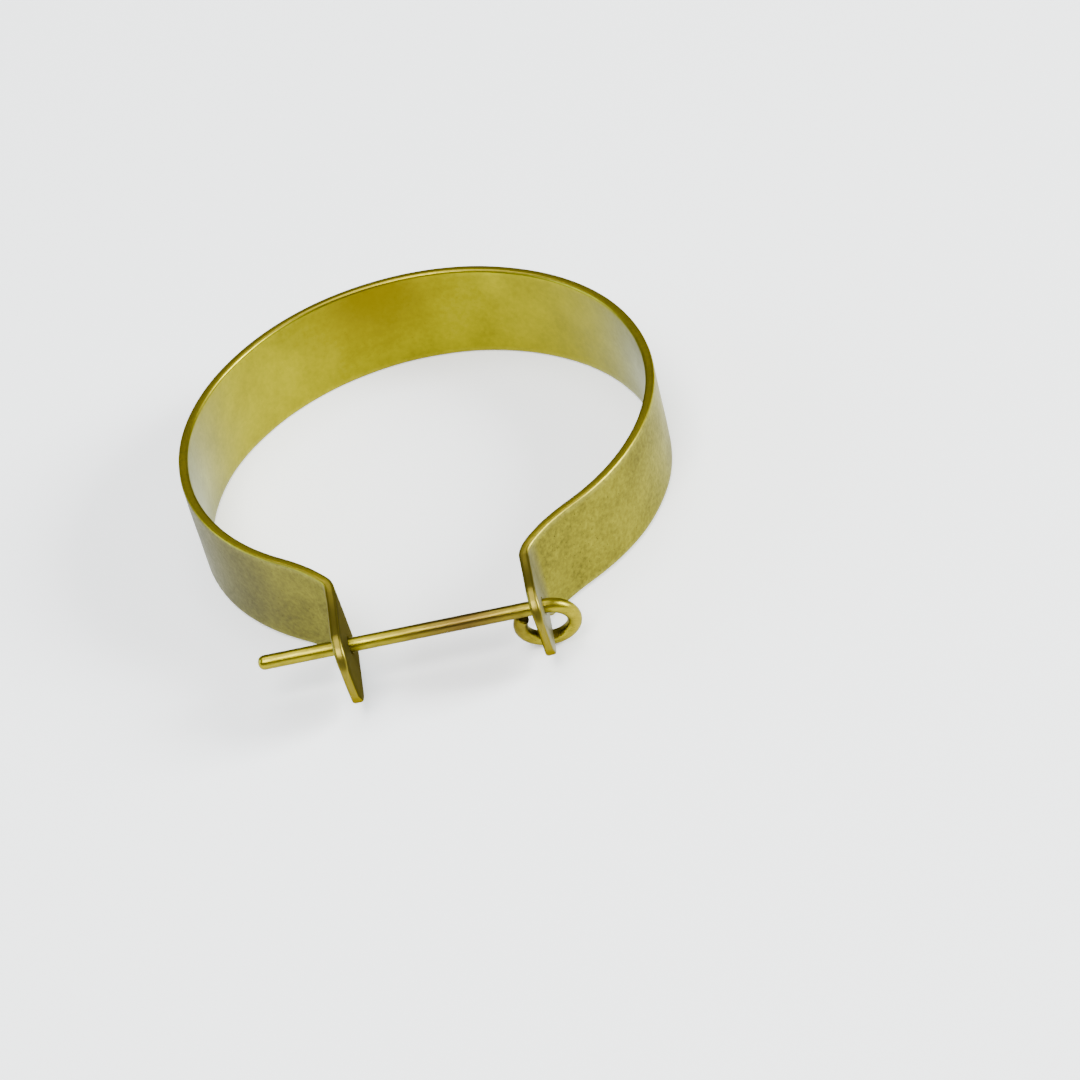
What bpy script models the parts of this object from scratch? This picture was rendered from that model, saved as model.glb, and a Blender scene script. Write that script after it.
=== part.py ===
"""One brass hoop earring, lying on its side, in metres with +Z up.

The hoop is one flat brass strip bent into a C. Each end of the strip runs on
nearly straight, then turns sharply outward into a narrower tab with a hole.
A straight ear wire passes through both holes. Just past the right tab it
curls under the tab's lower edge into a small ring, which keeps the wire in
its hole and lets it swing. The left end of the wire is free and rounded.

X runs along the ear wire, -Y points to the open side of the hoop, and the
origin is on the surface that the hoop lies on, under the middle of its box.
"""
import math

import bmesh
import bpy
from mathutils import Vector

MM = 0.001

# the flat strip
STRIP_THICKNESS = 0.70 * MM
STRIP_WIDTH = 7.64 * MM          # at the back of the hoop
RUN_WIDTH = 7.10 * MM            # just before the bends
TAB_WIDTH = 5.70 * MM            # past the bends

# the strip's middle line, from the back of the hoop to either end
BACK_RADIUS = 17.0 * MM
BACK_TURN = math.radians(51.5)
SIDE_RADIUS = 16.0 * MM
SIDE_TURN = math.radians(93.0)
RUN_RADIUS = 17.0 * MM           # the run to the bend curves the other way
RUN_LENGTH = 4.0 * MM
BEND_RADIUS = 2.1 * MM
TAB_LEAN = math.radians(2.5)     # both tabs point this much to the right
TAB_TILT = math.radians(3.5)     # and their lower edges stand to the right
TAB_TO_HOLE = 2.05 * MM          # from the end of the right bend to the hole
RIGHT_HOLE_TO_END = 3.20 * MM    # from the hole to the end of the tab
LEFT_HOLE_TO_END = 4.05 * MM
CORNER_ALONG = 2.10 * MM         # what is filed off the corners of a tab
CORNER_ACROSS = 1.05 * MM

# the holes and the ear wire
HOLE_HEIGHT = 4.12 * MM          # above the surface the hoop lies on
WIRE_DIAMETER = 1.00 * MM
HOLE_DIAMETER = 1.50 * MM
TIP_PAST_TAB = 5.60 * MM         # from the left tab's outer face to the tip
RING_RADIUS = 1.83 * MM          # of the middle line of the curled ring
RING_PAST_TAB = 0.30 * MM        # from the middle of the tab to the ring's
RING_GAP = 0.30 * MM             # between the ring's end and the wire above it
FLOOR_GAP = 0.05 * MM            # under the lowest point of the ring

ARC_STEP = math.radians(6.0)     # the turn of each flat of the hoop
BEND_STEP = math.radians(9.0)
RING_STEP = math.radians(12.0)
WIRE_SIDES = 12
HOLE_SIDES = 24


def clear_scene():
    """Removes every object that the new file starts with."""
    for obj in list(bpy.data.objects):
        bpy.data.objects.remove(obj, do_unlink=True)


def brass(name, colour, roughness):
    """Returns a metal material with the given base colour and roughness."""
    mat = bpy.data.materials.new(name)
    mat.use_nodes = True
    shader = mat.node_tree.nodes["Principled BSDF"]
    shader.inputs["Base Color"].default_value = (*colour, 1.0)
    shader.inputs["Metallic"].default_value = 1.0
    shader.inputs["Roughness"].default_value = roughness
    return mat


def follow_arc(line, turn, radius, step):
    """Adds points to the line along an arc; a negative turn bends outward."""
    x, y, heading, length = line[-1]
    count = max(2, math.ceil(abs(turn) / step))
    side = 1.0 if turn > 0 else -1.0
    for i in range(1, count + 1):
        now = heading + turn * i / count
        line.append((
            x + side * radius * (math.sin(now) - math.sin(heading)),
            y + side * radius * (math.cos(now) - math.cos(heading)),
            now,
            length + abs(turn) * radius * i / count,
        ))


def follow_straight(line, distance):
    """Adds one point to the line, straight ahead."""
    x, y, heading, length = line[-1]
    line.append((x + distance * math.cos(heading),
                 y - distance * math.sin(heading), heading, length + distance))


def strip_line(side, hole_y=None):
    """Returns one half of the strip's middle line and three places on it.

    Side is 1 for the right half and -1 for the left, which is drawn to the
    right all the same. Each point is (x, y, heading, length from the back).
    Heading 0 points to +X and grows clockwise. The places are the lengths at
    which the bend starts and ends and the index of the point at the hole,
    which the left half takes from the right one.
    """
    line = [(0.0, BACK_RADIUS, 0.0, 0.0)]
    follow_arc(line, BACK_TURN, BACK_RADIUS, ARC_STEP)
    follow_arc(line, SIDE_TURN, SIDE_RADIUS, ARC_STEP)
    follow_arc(line, -RUN_LENGTH / RUN_RADIUS, RUN_RADIUS, ARC_STEP)
    bend_start = line[-1][3]
    bend_turn = line[-1][2] - (math.pi / 2 - side * TAB_LEAN)
    follow_arc(line, -bend_turn, BEND_RADIUS, BEND_STEP)
    bend_end = line[-1][3]
    to_hole = TAB_TO_HOLE
    if hole_y is not None:
        to_hole = (line[-1][1] - hole_y) / math.cos(TAB_LEAN)
    follow_straight(line, to_hole)
    hole = len(line) - 1
    past_hole = RIGHT_HOLE_TO_END if side > 0 else LEFT_HOLE_TO_END
    follow_straight(line, past_hole - CORNER_ALONG)
    follow_straight(line, CORNER_ALONG / 2)
    follow_straight(line, CORNER_ALONG / 2)
    return line, bend_start, bend_end, hole


def strip_edges(length, bend_start, bend_end, end):
    """Returns the heights of the strip's edges at a length, and its tilt."""
    tilt = 0.0
    if length <= bend_start:
        share = (length / bend_start) ** 2
        width = STRIP_WIDTH + (RUN_WIDTH - STRIP_WIDTH) * share
        middle = STRIP_WIDTH / 2
    else:
        share = min(1.0, (length - bend_start) / (bend_end - bend_start))
        share = share * share * (3 - 2 * share)
        width = RUN_WIDTH + (TAB_WIDTH - RUN_WIDTH) * share
        middle = STRIP_WIDTH / 2 + (HOLE_HEIGHT - STRIP_WIDTH / 2) * share
        tilt = math.tan(TAB_TILT) * share
    filed = max(0.0, (length - (end - CORNER_ALONG)) / CORNER_ALONG)
    width -= 2 * CORNER_ACROSS * filed ** 1.3
    return middle - width / 2, middle + width / 2, tilt


def skin(bm, rings):
    """Joins rings of vertices in turn and closes the first and the last."""
    for a, b in zip(rings, rings[1:]):
        for i in range(len(a)):
            j = (i + 1) % len(a)
            bm.faces.new((a[i], a[j], b[j], b[i]))
    bm.faces.new(list(reversed(rings[0])))
    bm.faces.new(rings[-1])


def finish_mesh(bm, name, material):
    """Turns a bmesh into an object with outward faces and smooth shading."""
    bmesh.ops.recalc_face_normals(bm, faces=bm.faces)
    mesh = bpy.data.meshes.new(name)
    bm.to_mesh(mesh)
    bm.free()
    mesh.materials.append(material)
    mesh.shade_smooth()
    mesh.set_sharp_from_angle(angle=math.radians(35))
    obj = bpy.data.objects.new(name, mesh)
    bpy.context.collection.objects.link(obj)
    return obj


def make_band(halves, bend_start, material):
    """Builds the strip as one solid, swept along its left and right halves."""
    bm = bmesh.new()
    rings = []
    for side, (line, bend_end) in zip((-1, 1), halves):
        end = line[-1][3]
        for x, y, heading, length in line[:0:-1] if side < 0 else line:
            out = Vector((side * math.sin(heading), math.cos(heading), 0.0))
            low, high, tilt = strip_edges(length, bend_start, bend_end, end)
            half = out * (STRIP_THICKNESS / 2)
            ring = []
            for across, height in ((half, low), (half, high), (-half, high), (-half, low)):
                aside = tilt * (HOLE_HEIGHT - height)
                ring.append(bm.verts.new(
                    Vector((side * x + aside, y, height)) + across))
            rings.append(ring)
    skin(bm, rings)
    return finish_mesh(bm, "hoop_band", material)


def cut_holes(band, left_x, right_x, hole_y):
    """Cuts the hole in each tab, with one round cutter along the ear wire."""
    reach = max(-left_x, right_x) + 2 * STRIP_THICKNESS
    bm = bmesh.new()
    bmesh.ops.create_cone(bm, cap_ends=True, segments=HOLE_SIDES,
                          radius1=HOLE_DIAMETER / 2, radius2=HOLE_DIAMETER / 2,
                          depth=2 * reach)
    mesh = bpy.data.meshes.new("hole_cutter")
    bm.to_mesh(mesh)
    bm.free()
    cutter = bpy.data.objects.new("hole_cutter", mesh)
    cutter.rotation_euler = (0.0, math.pi / 2, 0.0)
    cutter.location = (0.0, hole_y, HOLE_HEIGHT)
    cutter.hide_render = True
    cutter.display_type = "WIRE"
    bpy.context.collection.objects.link(cutter)
    cut = band.modifiers.new("holes", "BOOLEAN")
    cut.operation = "DIFFERENCE"
    cut.solver = "EXACT"
    cut.object = cutter
    return cutter


def wire_path(left_x, right_x):
    """Returns the ear wire's middle line, tip first, as (x, z, heading).

    Heading 0 points to +X and grows clockwise, toward the ring.
    """
    radius = WIRE_DIAMETER / 2
    tip = left_x - STRIP_THICKNESS / 2 - TIP_PAST_TAB
    ring_x = right_x + RING_PAST_TAB
    path = [(tip + radius, 0.0, 0.0), (ring_x, 0.0, 0.0)]
    closing = math.acos((RING_RADIUS - radius - RING_GAP) / (RING_RADIUS + radius))
    turn = 2 * math.pi - closing
    count = math.ceil(turn / RING_STEP)
    for i in range(1, count + 1):
        now = turn * i / count
        path.append((ring_x + RING_RADIUS * math.sin(now),
                     RING_RADIUS * (math.cos(now) - 1.0), now))
    return path


def ring_lean():
    """Returns how far the ring leans into the hoop with its foot on the floor."""
    drop = HOLE_HEIGHT - FLOOR_GAP - WIRE_DIAMETER / 2
    return math.acos(min(1.0, drop / (2 * RING_RADIUS)))


def make_wire(left_x, right_x, hole_y, material):
    """Builds the ear wire with its ring, with its origin on the holes' line."""
    radius = WIRE_DIAMETER / 2
    path = wire_path(left_x, right_x)
    tip_x, tip_z, _ = path[0]
    sections = []
    for turn in (15.0, 45.0, 70.0):
        rise = math.radians(turn)
        sections.append((tip_x - radius * math.cos(rise), tip_z, 0.0,
                         radius * math.sin(rise)))
    sections += [(x, z, heading, radius) for x, z, heading in path]
    bm = bmesh.new()
    rings = []
    for x, z, heading, size in sections:
        up = Vector((math.sin(heading), 0.0, math.cos(heading)))
        ring = []
        for i in range(WIRE_SIDES):
            around = 2 * math.pi * (i + 0.5) / WIRE_SIDES
            ring.append(bm.verts.new(
                Vector((x, 0.0, z)) + up * (size * math.cos(around))
                + Vector((0.0, size * math.sin(around), 0.0))))
        rings.append(ring)
    skin(bm, rings)
    wire = finish_mesh(bm, "ear_wire", material)
    wire.location = (0.0, hole_y, HOLE_HEIGHT)
    wire.rotation_euler = (ring_lean(), 0.0, 0.0)
    return wire


def main():
    clear_scene()
    right, bend_start, right_bend_end, right_hole = strip_line(1)
    left, _, left_bend_end, left_hole = strip_line(-1, right[right_hole][1])
    back_y = BACK_RADIUS + STRIP_THICKNESS / 2
    front_y = min(line[-1][1] for line in (left, right)) \
        - STRIP_THICKNESS / 2 * math.sin(TAB_LEAN)
    shift = -(back_y + front_y) / 2
    left, right = ([(x, y + shift, heading, length) for x, y, heading, length in line]
                   for line in (left, right))
    left_x, right_x = -left[left_hole][0], right[right_hole][0]
    hole_y = right[right_hole][1]

    # one box centre for both pieces: the wire reaches past the hoop on no side
    band = make_band(((left, left_bend_end), (right, right_bend_end)), bend_start,
                     brass("band brass", (0.42, 0.36, 0.09), 0.38))
    wire = make_wire(left_x, right_x, hole_y,
                     brass("wire brass", (0.50, 0.36, 0.10), 0.33))
    cut_holes(band, left_x, right_x, hole_y)
    return band, wire


if __name__ == "__main__":
    main()
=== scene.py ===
"""A satin brass strip hoop earring with its swinging ear wire, lying on a white table."""
from __future__ import annotations

import logging
import math
from collections.abc import Callable
from dataclasses import dataclass
from enum import Enum

import bpy
import numpy as np
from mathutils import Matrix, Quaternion, Vector, noise

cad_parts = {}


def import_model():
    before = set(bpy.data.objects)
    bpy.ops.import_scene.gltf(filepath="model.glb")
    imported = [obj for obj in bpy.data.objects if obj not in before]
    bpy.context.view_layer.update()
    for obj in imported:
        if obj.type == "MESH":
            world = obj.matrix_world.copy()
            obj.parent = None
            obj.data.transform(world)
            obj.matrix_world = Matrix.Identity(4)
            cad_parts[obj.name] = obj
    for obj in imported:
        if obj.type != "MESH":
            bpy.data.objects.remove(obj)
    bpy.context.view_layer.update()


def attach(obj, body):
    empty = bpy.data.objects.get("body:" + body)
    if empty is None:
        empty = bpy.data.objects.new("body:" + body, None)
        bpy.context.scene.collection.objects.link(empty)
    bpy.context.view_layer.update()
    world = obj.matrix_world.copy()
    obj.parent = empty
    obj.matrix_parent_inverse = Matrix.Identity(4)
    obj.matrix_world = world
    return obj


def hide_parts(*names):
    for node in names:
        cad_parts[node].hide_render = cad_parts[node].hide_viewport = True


LOG = logging.getLogger("earring")
MM = 0.001
ON_PLANE = 1e-7  # a face this near to the plane of symmetry lies in it
MERGE = 1e-6  # points this near to the plane of symmetry are joined to their mirror images
SMOOTH_BELOW = math.radians(40)  # edges flatter than this are shaded smooth


def linear(colour: str) -> tuple[float, float, float, float]:
    """Turns an sRGB hex colour into the linear values that a shader takes.

    Args:
        colour: six hex digits, with or without a leading hash.

    Returns:
        Linear red, green, blue and an alpha of 1.
    """
    digits = colour.lstrip("#")
    values = [int(digits[i:i + 2], 16) / 255 for i in (0, 2, 4)]
    red, green, blue = (v / 12.92 if v <= 0.04045 else ((v + 0.055) / 1.055) ** 2.4
                        for v in values)
    return red, green, blue, 1.0


def smoothstep(share: np.ndarray) -> np.ndarray:
    """Returns shares from 0 to 1, eased at both ends."""
    return share * share * (3 - 2 * share)


def add_node(material: bpy.types.Material, kind: str, inputs: dict | None = None,
             **settings: object) -> bpy.types.Node:
    """Adds one node to a material, with its settings and its links.

    Args:
        material: the material whose tree gets the node.
        kind: the node's type name, such as "ShaderNodeBump".
        inputs: for each input's name or number, a value or another node's output.
        settings: attributes to set on the node first.

    Returns:
        The new node.
    """
    tree = material.node_tree
    node = tree.nodes.new(kind)
    for name, value in settings.items():
        setattr(node, name, value)
    for name, value in (inputs or {}).items():
        if isinstance(value, bpy.types.NodeSocket):
            tree.links.new(value, node.inputs[name])
        else:
            node.inputs[name].default_value = value
    return node


def attribute(material: bpy.types.Material, name: str) -> bpy.types.NodeSocket:
    """Returns the value that the mesh keeps under a name at each point."""
    return add_node(material, "ShaderNodeAttribute", attribute_name=name).outputs["Fac"]


def scaled(material: bpy.types.Material, place: bpy.types.NodeSocket,
           scale: tuple[float, float, float]) -> bpy.types.NodeSocket:
    """Scales a place along x, y and z.

    Args:
        material: the material whose tree gets the node.
        place: the place to scale.
        scale: the factor along each axis.

    Returns:
        The scaled place.
    """
    return add_node(material, "ShaderNodeMapping", {"Vector": place, "Scale": scale}
                    ).outputs["Vector"]


def mottle(material: bpy.types.Material, place: bpy.types.NodeSocket, size_mm: float,
           detail: float = 2.0, roughness: float = 0.5,
           distortion: float = 0.0) -> bpy.types.NodeSocket:
    """Adds an uneven pattern of soft patches.

    Args:
        material: the material whose tree gets it.
        place: the place on the piece in millimetres.
        size_mm: about how wide one patch is.
        detail: how many finer patterns lie over the first.
        roughness: how strong the finer ones are.
        distortion: how far the patches are drawn out of shape.

    Returns:
        The pattern, 0 to 1.
    """
    return add_node(material, "ShaderNodeTexNoise", {
        "Vector": place, "Scale": 1 / size_mm, "Detail": detail, "Roughness": roughness,
        "Distortion": distortion}).outputs["Fac"]


def fade(material: bpy.types.Material, value: bpy.types.NodeSocket,
         start: tuple[float, float], end: tuple[float, float],
         **settings: object) -> bpy.types.NodeSocket:
    """Maps a value from one range to another and holds it beyond the ends.

    Args:
        material: the material whose tree gets the node.
        value: the value to map.
        start: the value's range.
        end: what the two ends of that range become.
        settings: attributes to set on the node.

    Returns:
        The mapped value.
    """
    return add_node(material, "ShaderNodeMapRange", {
        "Value": value, "From Min": start[0], "From Max": start[1],
        "To Min": end[0], "To Max": end[1]}, **settings).outputs["Result"]


def blend(material: bpy.types.Material, share: object, first: object, second: object,
          colours: bool = True) -> bpy.types.NodeSocket:
    """Mixes two colours or two numbers.

    Args:
        material: the material whose tree gets the node.
        share: how much of the second there is.
        first: a value or another node's output.
        second: a value or another node's output.
        colours: whether the two are colours.

    Returns:
        The mixture.
    """
    kind, under, over, output = ("RGBA", 6, 7, 2) if colours else ("FLOAT", 2, 3, 0)
    return add_node(material, "ShaderNodeMix", {0: share, under: first, over: second},
                    data_type=kind).outputs[output]


def ramp(material: bpy.types.Material, fac: bpy.types.NodeSocket,
         stops: list[tuple[float, str]]) -> bpy.types.NodeSocket:
    """Adds a colour ramp with the given stops.

    Args:
        material: the material whose tree gets the ramp.
        fac: what drives it.
        stops: positions with sRGB hex colours, in order.

    Returns:
        The ramp's colour output.
    """
    node = add_node(material, "ShaderNodeValToRGB", {"Fac": fac})
    band = node.color_ramp
    while len(band.elements) < len(stops):
        band.elements.new(0.5)
    for element, (position, colour) in zip(band.elements, stops):
        element.position = position
        element.color = linear(colour)
    return node.outputs["Color"]


class Wear(Enum):
    """How fine the lines of a worked surface are: lines per mm along x, y and z."""

    ROLLED = (1.2, 1.2, 7.0)
    FILED = (3.0, 3.0, 3.0)
    DRAWN = (0.4, 9.0, 9.0)


@dataclass(frozen=True)
class AgedBrass:
    """Unlacquered brass, left satin, with a thin uneven olive tarnish.

    The colours are sRGB hex values, and one that is left empty isn't used.
    """

    name: str
    wear: Wear
    clean: str
    tarnished: str
    worn_and_sheen: str
    roughness: tuple[float, float]
    contrast: float
    worn_and_sheen_mm: float = 0.55
    grazing: str = "#d8d8c8"
    tab_tone: str = ""
    tab_roughness: float = 0.5
    tab_grazing: str = ""
    dark_patch: str = ""
    dark_patch_at: tuple[float, float, float] = (0.0, 0.0, 0.0)
    dark_patch_mm: float = 1.0
    dark_patch_depth: float = 0.85
    cloud_mm: float = 5.0
    grain_mm: float = 0.35
    grain_share: float = 0.45
    streak: float = 1.0
    speck: str = "#3c3618"
    pitted: float = 1.0
    pit_mm: float = 0.16
    pit_range: tuple[float, float] = (0.66, 0.74)
    relief: float = 0.25
    relief_mm: float = 0.03
    line_share: float = 0.35

    def build(self) -> bpy.types.Material:
        """Returns the material with its tarnish, specks, scratches and relief."""
        mat = bpy.data.materials.new(self.name)
        mat.use_nodes = True
        mat.node_tree.nodes.clear()
        place = add_node(mat, "ShaderNodeTexCoord").outputs["Object"]
        # metres to millimetres, so that every pattern's size is a real size in mm
        per_mm = scaled(mat, place, (1000, 1000, 1000))
        clouds = mottle(mat, per_mm, self.cloud_mm, detail=3.0, roughness=0.55, distortion=0.4)
        drawn = scaled(mat, per_mm, (self.streak, 1.0, 1.0))
        grain = mottle(mat, drawn, self.grain_mm, detail=5.0, roughness=0.6)
        tone = blend(mat, self.grain_share, clouds, grain, colours=False)
        on_tab = attribute(mat, "on_tab")
        # the cleaner the metal, the smoother it is
        rough = fade(mat, tone, (0.35, 0.65), (self.roughness[1], self.roughness[0]))
        if self.tab_tone:
            rough = blend(mat, on_tab, rough, self.tab_roughness, colours=False)
        tint = linear(self.grazing)
        # on the inner skin the tabs' dimmer low-angle tint is painted shade
        if self.tab_grazing:
            tint = blend(mat, on_tab, tint, linear(self.tab_grazing))
        surface = {"Base Color": self._colour(mat, per_mm, tone, grain, on_tab),
                   "Metallic": 1.0, "Roughness": rough, "Specular Tint": tint}
        if self.relief:
            lines = mottle(mat, scaled(mat, per_mm, self.wear.value), 1.0, detail=3.0)
            height = blend(mat, self.line_share, grain, lines, colours=False)
            surface["Normal"] = add_node(mat, "ShaderNodeBump", {
                "Height": height, "Strength": self.relief, "Distance": self.relief_mm * MM}
                ).outputs["Normal"]
        shader = add_node(mat, "ShaderNodeBsdfPrincipled", surface)
        add_node(mat, "ShaderNodeOutputMaterial", {"Surface": shader.outputs["BSDF"]})
        return mat

    def _colour(self, mat: bpy.types.Material, per_mm: bpy.types.NodeSocket,
                tone: bpy.types.NodeSocket, grain: bpy.types.NodeSocket,
                on_tab: bpy.types.NodeSocket) -> bpy.types.NodeSocket:
        """Lays the tarnish, the rubbed edge (partly painted sheen), the darker patch (painted
        shade on the outer skin), the tab's tone (painted shade on the inner skin) and the
        specks.

        Args:
            mat: the material whose tree gets them.
            per_mm: the place on the piece in millimetres.
            tone: how clean the metal is, 0 to 1.
            grain: the fine part of that.
            on_tab: how far onto a tab the place is, 0 to 1.

        Returns:
            The surface's colour.
        """
        colour = ramp(mat, tone, [(0.5 - self.contrast, self.tarnished),
                                  (0.5 + self.contrast, self.clean)])
        # lighter near the edges: rubbed wear, and on the filed edge partly a painted highlight
        # line
        near_edge = fade(mat, attribute(mat, "inset"), (0.0, self.worn_and_sheen_mm), (1.0, 0.0))
        rubbed_and_sheen = add_node(mat, "ShaderNodeMath", {0: near_edge, 1: grain},
                          operation="MULTIPLY").outputs[0]
        colour = blend(mat, rubbed_and_sheen, colour, linear(self.worn_and_sheen))
        # a darker patch round one point; on the outer skin's left limb it is painted shade
        if self.dark_patch:
            away = add_node(mat, "ShaderNodeVectorMath", {0: per_mm, 1: self.dark_patch_at},
                            operation="DISTANCE").outputs["Value"]
            deep = fade(mat, away, (0.0, self.dark_patch_mm), (self.dark_patch_depth, 0.0),
                        interpolation_type="SMOOTHSTEP")
            colour = blend(mat, deep, colour, linear(self.dark_patch))
        # the tab's tone; on the inner skin it is painted shade, for the shaded table that the
        # tabs' inner faces reflect
        if self.tab_tone:
            colour = blend(mat, on_tab, colour, linear(self.tab_tone))
        if self.pitted:
            pits = mottle(mat, per_mm, self.pit_mm)
            spotted = fade(mat, pits, self.pit_range, (0.0, self.pitted))
            colour = blend(mat, spotted, colour, linear(self.speck))
        return colour


@dataclass
class StripLine:
    """One half of the strip's middle line, seen from above and drawn to the right."""

    side: int = 1
    hole_y: float | None = None
    back_radius: float = 17.0 * MM
    back_turn: float = math.radians(51.5)
    side_radius: float = 16.0 * MM
    side_turn: float = math.radians(93.0)
    run_radius: float = 17.0 * MM
    run_length: float = 4.0 * MM
    bend_radius: float = 2.1 * MM
    lean: float = math.radians(2.5)
    tab_to_hole: float = 2.05 * MM
    hole_to_end: float = 3.20 * MM
    back_y: float = 19.6577 * MM

    def __post_init__(self) -> None:
        """Takes the left hole's place from the right one's."""
        if self.hole_y is not None:
            bend_end, ahead = self.tab_start()
            self.tab_to_hole = (self.hole_y - bend_end.y) / ahead.y

    @property
    def tab_length(self) -> float:
        """Returns the tab's length past the bend."""
        return self.tab_to_hole + self.hole_to_end

    def arcs(self) -> list[tuple[Vector, float, float]]:
        """Returns each arc as its centre, its clockwise turn and its radius."""
        arcs = []
        at, heading = Vector((0.0, self.back_y, 0.0)), 0.0
        run_turn = self.run_length / self.run_radius
        bend_turn = (self.back_turn + self.side_turn - run_turn
                     - (math.pi / 2 - self.side * self.lean))
        for turn, radius in ((self.back_turn, self.back_radius),
                             (self.side_turn, self.side_radius),
                             (-run_turn, self.run_radius), (-bend_turn, self.bend_radius)):
            toward = math.copysign(radius, turn)
            centre = at - outward(heading) * toward
            arcs.append((centre, turn, radius))
            heading += turn
            at = centre + outward(heading) * toward
        return arcs

    def tab_start(self) -> tuple[Vector, Vector]:
        """Returns where the straight tab begins and the direction it runs in."""
        centre, _, radius = self.arcs()[-1]
        heading = math.pi / 2 - self.side * self.lean
        return (centre - outward(heading) * radius,
                Vector((math.cos(heading), -math.sin(heading), 0.0)))

    def hole(self) -> Vector:
        """Returns the middle of the tab's hole, on the strip's middle line."""
        start, ahead = self.tab_start()
        at = start + ahead * self.tab_to_hole
        return Vector((self.side * at.x, at.y, 0.0))

    def stations(self, step: float = 0.05 * MM) -> np.ndarray:
        """Walks along the line.

        Args:
            step: the distance between points.

        Returns:
            Dense points of the line as rows of x, y, length and heading.
        """
        rows = [(0.0, self.back_y, 0.0, 0.0)]
        x, y, heading, length = 0.0, self.back_y, 0.0, 0.0
        for _, turn, radius in self.arcs():
            count = math.ceil(abs(turn) * radius / step)
            each = abs(turn) * radius / count
            for _ in range(count):
                middle = heading + turn / count / 2
                x += each * math.cos(middle)
                y -= each * math.sin(middle)
                heading += turn / count
                length += each
                rows.append((x, y, length, heading))
        count = math.ceil(self.tab_length / step)
        for i in range(1, count + 1):
            along = self.tab_length * i / count
            rows.append((x + along * math.cos(heading), y - along * math.sin(heading),
                         length + along, heading))
        return np.array(rows)


def outward(heading: float) -> Vector:
    """Returns the level direction at the left hand of a clockwise heading."""
    return Vector((math.sin(heading), math.cos(heading), 0.0))


@dataclass
class Places:
    """Where each of some points lies along the strip, with one value for each point."""

    length: np.ndarray
    heading: np.ndarray
    end: np.ndarray
    bend_start: np.ndarray
    bend_end: np.ndarray
    side: np.ndarray

    @property
    def on_tab(self) -> np.ndarray:
        """Returns how far round the bend each point is: 0 before it and 1 on the tab."""
        bend_length = self.bend_end - self.bend_start
        return np.clip((self.length - self.bend_start) / bend_length, 0, 1)


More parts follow.
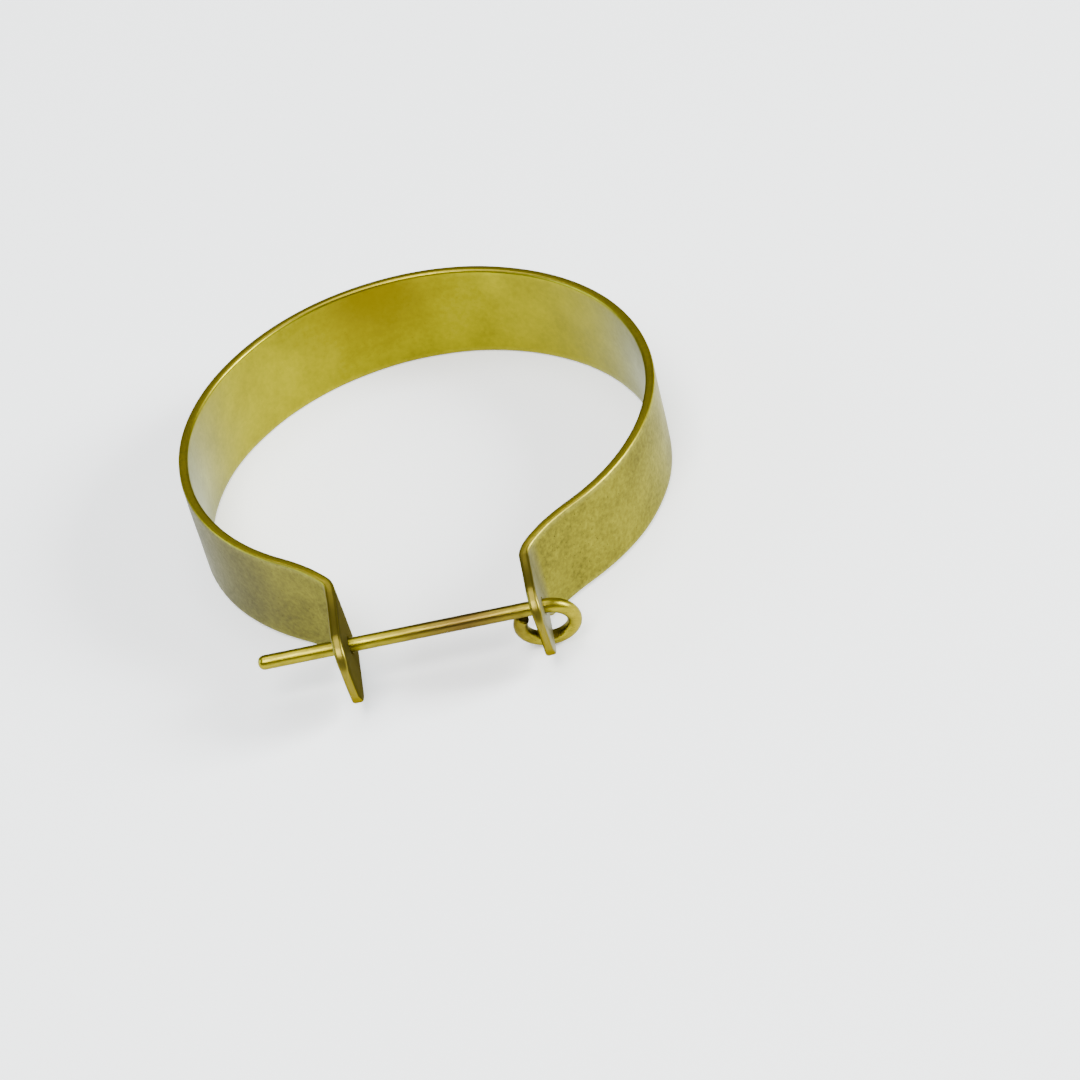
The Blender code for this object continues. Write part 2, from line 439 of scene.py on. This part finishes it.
@dataclass
class HoopBand:
    """The flat strip, bent into a C, with a pierced tab at each end."""

    right: StripLine
    left: StripLine
    thickness: float = 0.70 * MM
    width: float = 7.64 * MM
    run_width: float = 7.10 * MM
    tab_width: float = 5.70 * MM
    tilt: float = math.tan(math.radians(3.5))
    corner_along: float = 2.10 * MM
    corner_across: float = 1.05 * MM
    corner_curve: float = 1.7
    corner_round: float = 1.15 * MM
    hole_height: float = 4.12 * MM
    hole_diameter: float = 1.30 * MM
    drill_sides: int = 48
    edge_round: float = 0.22 * MM
    edge_kept: float = 0.45 * MM
    end_round: float = 0.75 * MM
    end_slim: float = 0.25 * MM
    rim_break: float = 0.06 * MM
    rim_angle: float = math.radians(60)
    slow_before: float = 1.5 * MM
    slow_after: float = 1.9 * MM
    dents: float = 0.035 * MM
    dent_size: float = 4.2 * MM
    dent_squash: float = 1.3
    dent_layer: float = 7.0 * MM
    across: int = 14
    arc_step: float = math.radians(1.8)
    bend_steps: int = 22
    tab_steps: tuple[int, int, int] = (6, 8, 9)
    skin_facing: float = 0.85
    # rolled brass gone olive: a fine mottled grain and dark pin specks, so the outside reads
    # as old, handled metal and not as plating; the grey patch over the left limb is painted
    # shade
    outer: AgedBrass = AgedBrass(
        "tumbled brass outer skin", Wear.ROLLED, clean="#7f7a22", tarnished="#4c461a",
        worn_and_sheen="#94903e", roughness=(0.34, 0.46), contrast=0.165, grain_share=0.50,
        grain_mm=0.30, tab_tone="#625e34", tab_grazing="#ffffff",
        # the grey patch at the left limb is painted shade, where that side faces away from the
        # key light
        dark_patch="#4a4740", dark_patch_at=(-17.0, 0.0, 5.0), dark_patch_mm=21.0)
    # the protected inside: smooth warm yellow brass with one deeper, darker gold patch at the
    # back, fading to silver where it is seen at a low angle
    inner: AgedBrass = AgedBrass(
        "satin brass inner skin", Wear.ROLLED, clean="#8e8804", tarnished="#6c6600",
        worn_and_sheen="#989218", roughness=(0.30, 0.38), contrast=0.25, cloud_mm=3.5,
        grazing="#e6edff", pitted=0.25, relief=0.12,
        # painted shade: the tabs' inner faces are darkened and their low-angle reflection
        # dimmed, standing in for the shaded table between the tabs that they reflect
        tab_tone="#3c3816", tab_roughness=0.65, tab_grazing="#b4ac7c",
        dark_patch="#5a4c00", dark_patch_at=(-2.6, 19.2, 7.2), dark_patch_mm=8.5)
    # the filed edge: darker and smoother, with a lighter rubbed tone on the thin rims that is
    # partly wear and partly a painted highlight line
    edge: AgedBrass = AgedBrass(
        "filed brass edge", Wear.FILED, clean="#7e7720", tarnished="#585416",
        worn_and_sheen="#948420", roughness=(0.33, 0.43), contrast=0.30, grazing="#b8b088",
        pitted=0.0, relief=0.0, tab_tone="#6b6020", tab_roughness=0.36)

    def build(self) -> bpy.types.Object:
        """Returns the finished strip, with its place in its mesh."""
        band = self._sweep_hoop()
        self._mirror(band)
        for line in (self.right, self.left):
            self._add_tab(band, line)
        self._shape_edges(band)
        self._pierce(band)
        self._round_edges(band)
        self._measure_inset(band)
        self._dress(band)
        return band

    def _sweep_hoop(self) -> bpy.types.Object:
        """Spins the strip's section from the back to the start of the right bend."""
        bpy.ops.object.select_all(action="DESELECT")
        bpy.ops.mesh.primitive_plane_add(size=1.0, rotation=(0, math.pi / 2, 0),
                                         location=(0, self.right.back_y, self.width / 2))
        band = bpy.context.object
        band.name = band.data.name = "brass_hoop_strip"
        band.scale = (self.width, self.thickness, 1.0)
        bpy.ops.object.transform_apply(location=True, rotation=True, scale=True)
        bpy.ops.object.mode_set(mode="EDIT")
        bpy.ops.mesh.select_mode(type="EDGE")
        bpy.ops.mesh.select_all(action="DESELECT")
        bpy.ops.object.mode_set(mode="OBJECT")
        for edge in band.data.edges:
            ends = [band.data.vertices[i].co for i in edge.vertices]
            edge.select = abs(ends[0].z - ends[1].z) > self.width / 2
        bpy.ops.object.mode_set(mode="EDIT")
        bpy.ops.mesh.subdivide(number_cuts=self.across - 1)
        bpy.ops.mesh.select_mode(type="VERT")
        bpy.ops.mesh.select_all(action="DESELECT")
        bpy.ops.object.mode_set(mode="OBJECT")
        # only the section's four corners lie this near to its ends, and they are rounded
        for vertex in band.data.vertices:
            vertex.select = abs(vertex.co.z - self.width / 2) > self.width * 0.499
        bpy.ops.object.mode_set(mode="EDIT")
        bpy.ops.mesh.bevel(offset=self.edge_round, segments=5, affect="VERTICES",
                           clamp_overlap=False)
        bpy.ops.mesh.select_mode(type="FACE")
        bpy.ops.mesh.select_all(action="SELECT")
        for centre, turn, _ in self.right.arcs()[:-1]:
            steps = max(6, math.ceil(abs(turn) / self.arc_step))
            bpy.ops.mesh.spin(steps=steps, angle=turn, center=centre, axis=(0, 0, 1))
        bpy.ops.object.mode_set(mode="OBJECT")
        return band

    def _pick(self, band: bpy.types.Object,
              test: Callable[[bpy.types.MeshPolygon], bool]) -> None:
        """Selects the faces that pass a test and goes back to edit mode.

        Args:
            band: the strip.
            test: what tells whether a face is picked.
        """
        bpy.context.view_layer.objects.active = band
        bpy.ops.object.mode_set(mode="EDIT")
        bpy.ops.mesh.select_mode(type="FACE")
        bpy.ops.mesh.select_all(action="DESELECT")
        bpy.ops.object.mode_set(mode="OBJECT")
        for face in band.data.polygons:
            face.select = test(face)
        bpy.ops.object.mode_set(mode="EDIT")

    def _mirror(self, band: bpy.types.Object) -> None:
        """Opens the strip at the back and mirrors it to the left.

        Args:
            band: the right half of the strip.
        """
        self._pick(band, lambda face: abs(face.center.x) < ON_PLANE)
        bpy.ops.mesh.delete(type="FACE")
        bpy.ops.object.mode_set(mode="OBJECT")
        mirror = band.modifiers.new("left half", "MIRROR")
        mirror.merge_threshold = MERGE
        bpy.ops.object.modifier_apply(modifier=mirror.name)

    def _add_tab(self, band: bpy.types.Object, line: StripLine) -> None:
        """Bends one end of the strip outward and draws its tab straight on.

        Args:
            band: the strip.
            line: the half of the middle line that the tab is on.
        """
        centre, turn, radius = line.arcs()[-1]
        heading = math.pi / 2 - line.side * line.lean - turn
        end = centre - outward(heading) * radius
        flip = Vector((line.side, 1.0, 1.0))
        end, centre = end * flip, centre * flip
        self._pick(band, lambda face: math.hypot(face.center.x - end.x, face.center.y - end.y)
                   < self.thickness / 4)
        bpy.ops.mesh.spin(steps=self.bend_steps, angle=turn * line.side, center=centre,
                          axis=(0, 0, 1))
        # wide steps up to the filed corners, closer ones along them, and ones that shrink
        # toward the end where it is rounded
        straight, filed, rounded = self.tab_steps
        shrinking = np.diff(np.sin(np.radians(np.linspace(0, 90, rounded + 1))))
        lengths = ([(line.tab_length - self.corner_along) / straight] * straight
                   + [(self.corner_along - self.corner_round) / filed] * filed
                   + list(self.corner_round * shrinking))
        ahead = line.tab_start()[1] * flip
        for length in lengths:
            bpy.ops.mesh.extrude_region_move(TRANSFORM_OT_translate={"value": ahead * length})
        bpy.ops.mesh.select_all(action="SELECT")
        bpy.ops.mesh.normals_make_consistent(inside=False)
        bpy.ops.object.mode_set(mode="OBJECT")

    def _nearest(self, points: np.ndarray) -> Places:
        """Finds each point's nearest station on its own half of the middle line.

        Args:
            points: rows of x, y and z.

        Returns:
            Where the points lie along the strip.
        """
        found = np.empty((len(points), 6))
        for line in (self.right, self.left):
            stations = line.stations()
            end = stations[-1, 2]
            _, turn, radius = line.arcs()[-1]
            bend_end = end - line.tab_length
            bend_start = bend_end - abs(turn) * radius
            here = points[:, 0] > 0 if line.side > 0 else points[:, 0] <= 0
            for i in np.flatnonzero(here):
                gap = ((stations[:, 0] - abs(points[i, 0])) ** 2
                       + (stations[:, 1] - points[i, 1]) ** 2)
                _, _, length, heading = stations[np.argmin(gap)]
                found[i] = (length, heading, end, bend_start, bend_end, line.side)
        return Places(*found.T)

    def _edges(self, at: Places) -> tuple[np.ndarray, np.ndarray, np.ndarray]:
        """Works out how high and how tilted the strip is.

        Args:
            at: the places to work it out for.

        Returns:
            The height of the lower edge and of the upper edge, and the tilt.
        """
        share = np.clip(at.length / at.bend_start, 0, 1) ** 2
        width = self.width + (self.run_width - self.width) * share
        into = smoothstep(at.on_tab)
        width = width + (self.tab_width - self.run_width) * into
        middle = self.width / 2 + (self.hole_height - self.width / 2) * into
        # the upper edge comes down over a longer way than the lower one rises
        top = middle + width / 2
        slow = smoothstep(np.clip(
            (at.length - at.bend_start + self.slow_before)
            / (at.bend_end - at.bend_start + self.slow_before + self.slow_after), 0, 1))
        run_top = (self.width + self.run_width) / 2
        tab_top = self.hole_height + self.tab_width / 2
        near = at.length > at.bend_start - self.slow_before
        top = np.where(near, run_top + (tab_top - run_top) * slow, top)
        filed = np.clip((at.length - (at.end - self.corner_along)) / self.corner_along, 0, 1)
        cut = self.corner_across * filed ** self.corner_curve
        near_end = np.clip(1 - (at.end - at.length) / self.corner_round, 0, 1)
        cut = cut + self.corner_round * (1 - np.sqrt(1 - near_end ** 2))
        return middle - width / 2 + cut, top - cut, self.tilt * into

    def _shape_edges(self, band: bpy.types.Object) -> None:
        """Narrows the strip toward its ends, tilts the tabs and adds slight dents.

        Args:
            band: the whole strip, still of one width.
        """
        points = coordinates(band.data)
        at = self._nearest(points)
        low, high, tilt = self._edges(at)
        # the rounded edges keep their size and the flat between them is stretched
        edge = self.edge_kept
        flat = np.clip((points[:, 2] - edge) / (self.width - 2 * edge), 0, 1)
        points[:, 2] = (low + np.minimum(points[:, 2], edge) + (high - low - 2 * edge) * flat
                        + np.maximum(points[:, 2] - self.width + edge, 0))
        tips = {line.side: line.tab_start()[0] for line in (self.right, self.left)}
        for point, length, heading, end, side in zip(points, at.length, at.heading, at.end,
                                                     at.side):
            away = outward(heading)
            place = Vector((side * length, point[2] * self.dent_squash, self.dent_layer))
            shift = self.dents * noise.noise(place / self.dent_size)
            into_end = 1 - (end - length) / self.end_round
            if into_end > 0:
                # the tab's end is rounded across its thickness
                off = ((abs(point[0]) - tips[side].x) * away.x
                       + (point[1] - tips[side].y) * away.y)
                slim = self.end_slim * (1 - math.sqrt(max(0.0, 1 - into_end ** 2)))
                shift -= off * slim / (self.thickness / 2)
            point[0] += shift * away.x * side
            point[1] += shift * away.y
        points[:, 0] += tilt * (self.hole_height - points[:, 2])
        band.data.vertices.foreach_set("co", points.ravel())
        band.data.update()

    def _pierce(self, band: bpy.types.Object) -> None:
        """Drills the hole in each tab.

        Args:
            band: the whole strip.
        """
        for line in (self.right, self.left):
            hole = line.hole()
            bpy.ops.object.select_all(action="DESELECT")
            bpy.ops.mesh.primitive_cylinder_add(
                vertices=self.drill_sides, radius=self.hole_diameter / 2,
                depth=4 * self.thickness, location=(hole.x, hole.y, self.hole_height),
                rotation=(0, math.pi / 2, 0))
            drill = bpy.context.object
            bpy.ops.object.transform_apply(location=True, rotation=True, scale=True)
            bpy.context.view_layer.objects.active = band
            cut = band.modifiers.new("hole", "BOOLEAN")
            cut.operation, cut.solver, cut.object = "DIFFERENCE", "EXACT", drill
            bpy.ops.object.modifier_apply(modifier=cut.name)
            bpy.data.objects.remove(drill, do_unlink=True)

    def _round_edges(self, band: bpy.types.Object) -> None:
        """Breaks the rims of the holes and evens the shading.

        Args:
            band: the whole strip.
        """
        bpy.ops.object.select_all(action="DESELECT")
        band.select_set(True)
        bpy.context.view_layer.objects.active = band
        bevel = band.modifiers.new("rounded edges", "BEVEL")
        bevel.width, bevel.segments = self.rim_break, 2
        bevel.limit_method, bevel.angle_limit = "ANGLE", self.rim_angle
        bpy.ops.object.modifier_apply(modifier=bevel.name)
        bpy.ops.object.shade_smooth_by_angle(angle=SMOOTH_BELOW)
        even = band.modifiers.new("even shading", "WEIGHTED_NORMAL")
        even.keep_sharp = True
        bpy.ops.object.modifier_apply(modifier=even.name)

    def _measure_inset(self, band: bpy.types.Object) -> None:
        """Keeps each point's distance from the nearest edge in mm, and whether it's on a tab.

        Args:
            band: the whole strip.
        """
        points = coordinates(band.data)
        at = self._nearest(points)
        low, high, _ = self._edges(at)
        inset = np.minimum(points[:, 2] - low, high - points[:, 2])
        inset = np.minimum(inset, at.end - at.length)
        for name, values in (("inset", np.maximum(inset, 0.0) / MM), ("on_tab", at.on_tab)):
            kept = band.data.attributes.new(name, "FLOAT", "POINT")
            kept.data.foreach_set("value", values)

    def _dress(self, band: bpy.types.Object) -> None:
        """Gives the outer skin, the inner skin and the filed edges their finishes.

        Args:
            band: the whole strip.
        """
        band.data.materials.clear()
        for finish in (self.outer, self.inner, self.edge):
            band.data.materials.append(finish.build())
        on_outer, on_inner, on_edge = range(3)
        at = self._nearest(np.array([face.center for face in band.data.polygons]))
        for face, heading, side in zip(band.data.polygons, at.heading, at.side):
            away = outward(heading)
            away.x *= side
            facing = face.normal.dot(away)
            face.material_index = (on_outer if facing > self.skin_facing
                                   else on_inner if facing < -self.skin_facing else on_edge)


def coordinates(mesh: bpy.types.Mesh) -> np.ndarray:
    """Returns a mesh's points as rows of x, y and z."""
    points = np.empty(len(mesh.vertices) * 3)
    mesh.vertices.foreach_get("co", points)
    return points.reshape(-1, 3)


@dataclass
class EarWire:
    """The round wire through both tabs, curled into a ring at the right."""

    left_x: float
    right_x: float
    hole_y: float
    height: float = 4.12 * MM
    diameter: float = 1.00 * MM
    tip_past_tab: float = 5.95 * MM
    ring_radius: float = 1.83 * MM
    ring_past_tab: float = 0.30 * MM
    end_gap: float = 0.03 * MM
    floor_gap: float = 0.05 * MM
    tip_round: float = 0.42 * MM
    seam_break: float = 0.12 * MM
    sides: int = 40
    run_steps: int = 24
    ring_steps: int = 72
    # hard drawn wire: long irregular streaks, and a darker, browner patch between the tabs
    finish: AgedBrass = AgedBrass(
        "drawn brass wire", Wear.DRAWN, clean="#867b1a", tarnished="#5a5012",
        worn_and_sheen="#867b1a", roughness=(0.26, 0.42), contrast=0.12, cloud_mm=2.6, streak=0.3,
        speck="#30260f", pitted=0.5, relief=0.80,
        dark_patch="#46331a", dark_patch_at=(1.5, -15.9, 4.1), dark_patch_mm=7.5)

    def build(self) -> bpy.types.Object:
        """Returns the finished wire, with its place in its mesh."""
        tip_x = self.left_x - self.tip_past_tab
        radius = self.diameter / 2
        bpy.ops.object.select_all(action="DESELECT")
        bpy.ops.mesh.primitive_circle_add(
            vertices=self.sides, radius=radius, fill_type="NGON",
            location=(tip_x, self.hole_y, self.height), rotation=(0, math.pi / 2, 0))
        wire = bpy.context.object
        wire.name = wire.data.name = "brass_ear_wire"
        bpy.ops.object.transform_apply(location=True, rotation=True, scale=True)
        bpy.ops.object.mode_set(mode="EDIT")
        bpy.ops.mesh.select_all(action="SELECT")
        ring_x = self.right_x + self.ring_past_tab
        run = (ring_x - tip_x) / self.run_steps
        for _ in range(self.run_steps):
            bpy.ops.mesh.extrude_region_move(TRANSFORM_OT_translate={"value": (run, 0, 0)})
        # the ring stops just short of the straight wire that it comes back to
        closing = math.acos((self.ring_radius - radius - self.end_gap)
                            / (self.ring_radius + radius))
        bpy.ops.mesh.spin(steps=self.ring_steps, angle=closing - 2 * math.pi, axis=(0, 1, 0),
                          center=(ring_x, self.hole_y, self.height - self.ring_radius))
        bpy.ops.mesh.select_all(action="SELECT")
        bpy.ops.mesh.normals_make_consistent(inside=False)
        self._round_ends(wire)
        # a full ring wouldn't clear the floor upright, so it leans until it does
        drop = self.height - self.floor_gap - radius
        lean = math.acos(min(1.0, drop / (2 * self.ring_radius)))
        bpy.ops.mesh.select_all(action="SELECT")
        bpy.ops.transform.rotate(value=-lean, orient_axis="X", orient_type="GLOBAL",
                                 center_override=(0, self.hole_y, self.height))
        bpy.ops.object.mode_set(mode="OBJECT")
        bpy.ops.object.shade_smooth_by_angle(angle=SMOOTH_BELOW)
        wire.data.materials.clear()
        wire.data.materials.append(self.finish.build())
        return wire

    def _round_ends(self, wire: bpy.types.Object) -> None:
        """Rounds the free tip and breaks the edge of the ring's end.

        Args:
            wire: the wire, in edit mode.
        """
        tip, seam = 0, -1
        for which, size, segments in ((tip, self.tip_round, 8), (seam, self.seam_break, 3)):
            bpy.ops.object.mode_set(mode="OBJECT")
            # only the two flat ends have this many corners, and the tip is the left one
            caps = sorted((f for f in wire.data.polygons if len(f.vertices) == self.sides),
                          key=lambda f: f.center.x)
            rim = set(caps[which].edge_keys)
            for face in wire.data.polygons:
                face.select = False
            for edge in wire.data.edges:
                edge.select = edge.key in rim
            corners = set(caps[which].vertices)
            for vertex in wire.data.vertices:
                vertex.select = vertex.index in corners
            bpy.ops.object.mode_set(mode="EDIT")
            bpy.ops.mesh.select_mode(type="EDGE")
            bpy.ops.mesh.bevel(offset=size, segments=segments, affect="EDGES")


@dataclass(frozen=True)
class SoftLight:
    """A square light that faces the middle of the table."""

    name: str
    place: tuple[float, float, float]
    size: float
    power: float
    colour: tuple[float, float, float] = (1.0, 1.0, 1.0)

    def hang(self) -> None:
        """Puts the light in the scene."""
        light = bpy.data.lights.new(self.name, "AREA")
        light.shape, light.size, light.energy = "SQUARE", self.size, self.power
        light.color = self.colour
        lamp = bpy.data.objects.new(self.name, light)
        lamp.location = self.place
        lamp.rotation_euler = (-Vector(self.place)).to_track_quat("-Z", "Y").to_euler()
        bpy.context.scene.collection.objects.link(lamp)


@dataclass
class Studio:
    """A white table, four soft lights, the room's dim light and the camera."""

    camera_at: tuple[float, float, float] = (22.5797 * MM, -186.2022 * MM, 151.8205 * MM)
    looks_at: tuple[float, float, float] = (6.9136 * MM, -4.2525 * MM, 0.0)
    roll: float = math.radians(-14.71)
    lens: float = 113.33
    sensor: float = 36.0
    table: str = "#f2f2f0"
    table_size: float = 3.0
    table_glow: float = 0.5
    lights: tuple[SoftLight, ...] = (
        SoftLight("overhead", (-0.05, 0.12, 0.75), 0.50, 5.0),
        SoftLight("front", (-0.10, -0.36, 0.62), 0.30, 7.0),
        SoftLight("right", (0.62, -0.05, 0.34), 0.26, 13.0, (0.93, 0.98, 1.0)),
        SoftLight("left", (-0.60, 0.05, 0.22), 0.40, 3.5, (0.62, 0.79, 1.0)))
    room: tuple[float, float, float, float] = (0.75, 0.8, 0.9, 1.0)
    room_strength: float = 0.36

    def build(self) -> None:
        """Makes the table, the lights and the camera."""
        self._table()
        for light in self.lights:
            light.hang()
        self._room()
        self._camera()

    def _table(self) -> None:
        """Makes the plain pale table that the earring lies on."""
        bpy.ops.object.select_all(action="DESELECT")
        bpy.ops.mesh.primitive_plane_add(size=self.table_size, location=(0, 0, 0))
        table = bpy.context.object
        table.name = "table"
        # plain matt white, so that only soft contact shadows show under the brass
        mat = bpy.data.materials.new("matt white paper")
        mat.use_nodes = True
        shader = mat.node_tree.nodes["Principled BSDF"]
        shader.inputs["Base Color"].default_value = linear(self.table)
        shader.inputs["Roughness"].default_value = 0.9
        shader.inputs["Emission Color"].default_value = linear(self.table)
        shader.inputs["Emission Strength"].default_value = self.table_glow
        table.data.materials.append(mat)

    def _room(self) -> None:
        """Sets the dim, slightly blue light that comes from all round."""
        world = bpy.data.worlds.new("room")
        world.use_nodes = True
        background = world.node_tree.nodes["Background"]
        background.inputs["Color"].default_value = self.room
        background.inputs["Strength"].default_value = self.room_strength
        bpy.context.scene.world = world

    def _camera(self) -> None:
        """Sets the camera at the photograph's angle to the hoop."""
        data = bpy.data.cameras.new("camera")
        data.lens, data.sensor_width = self.lens, self.sensor
        data.clip_start, data.clip_end = 0.01, 10.0
        camera = bpy.data.objects.new("camera", data)
        camera.location = self.camera_at
        look = (Vector(self.looks_at) - Vector(self.camera_at)).to_track_quat("-Z", "Y")
        camera.rotation_mode = "QUATERNION"
        camera.rotation_quaternion = look @ Quaternion((0, 0, 1), self.roll)
        bpy.context.scene.collection.objects.link(camera)
        bpy.context.scene.camera = camera


def main() -> None:
    """Builds the earring and its setting and reports each piece."""
    logging.basicConfig(level=logging.INFO, format="%(message)s")
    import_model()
    right = StripLine()
    left = StripLine(side=-1, hole_y=right.hole().y, hole_to_end=4.05 * MM)
    band = HoopBand(right, left).build()
    wire = EarWire(left.hole().x, right.hole().x, right.hole().y).build()
    for piece, node, body in ((band, "hoop_band", "hoop"), (wire, "ear_wire", "ear_wire")):
        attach(piece, body)
        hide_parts(node)
        LOG.info("%s: %d faces", piece.name, len(piece.data.polygons))
    Studio().build()


if __name__ == "__main__":
    main()
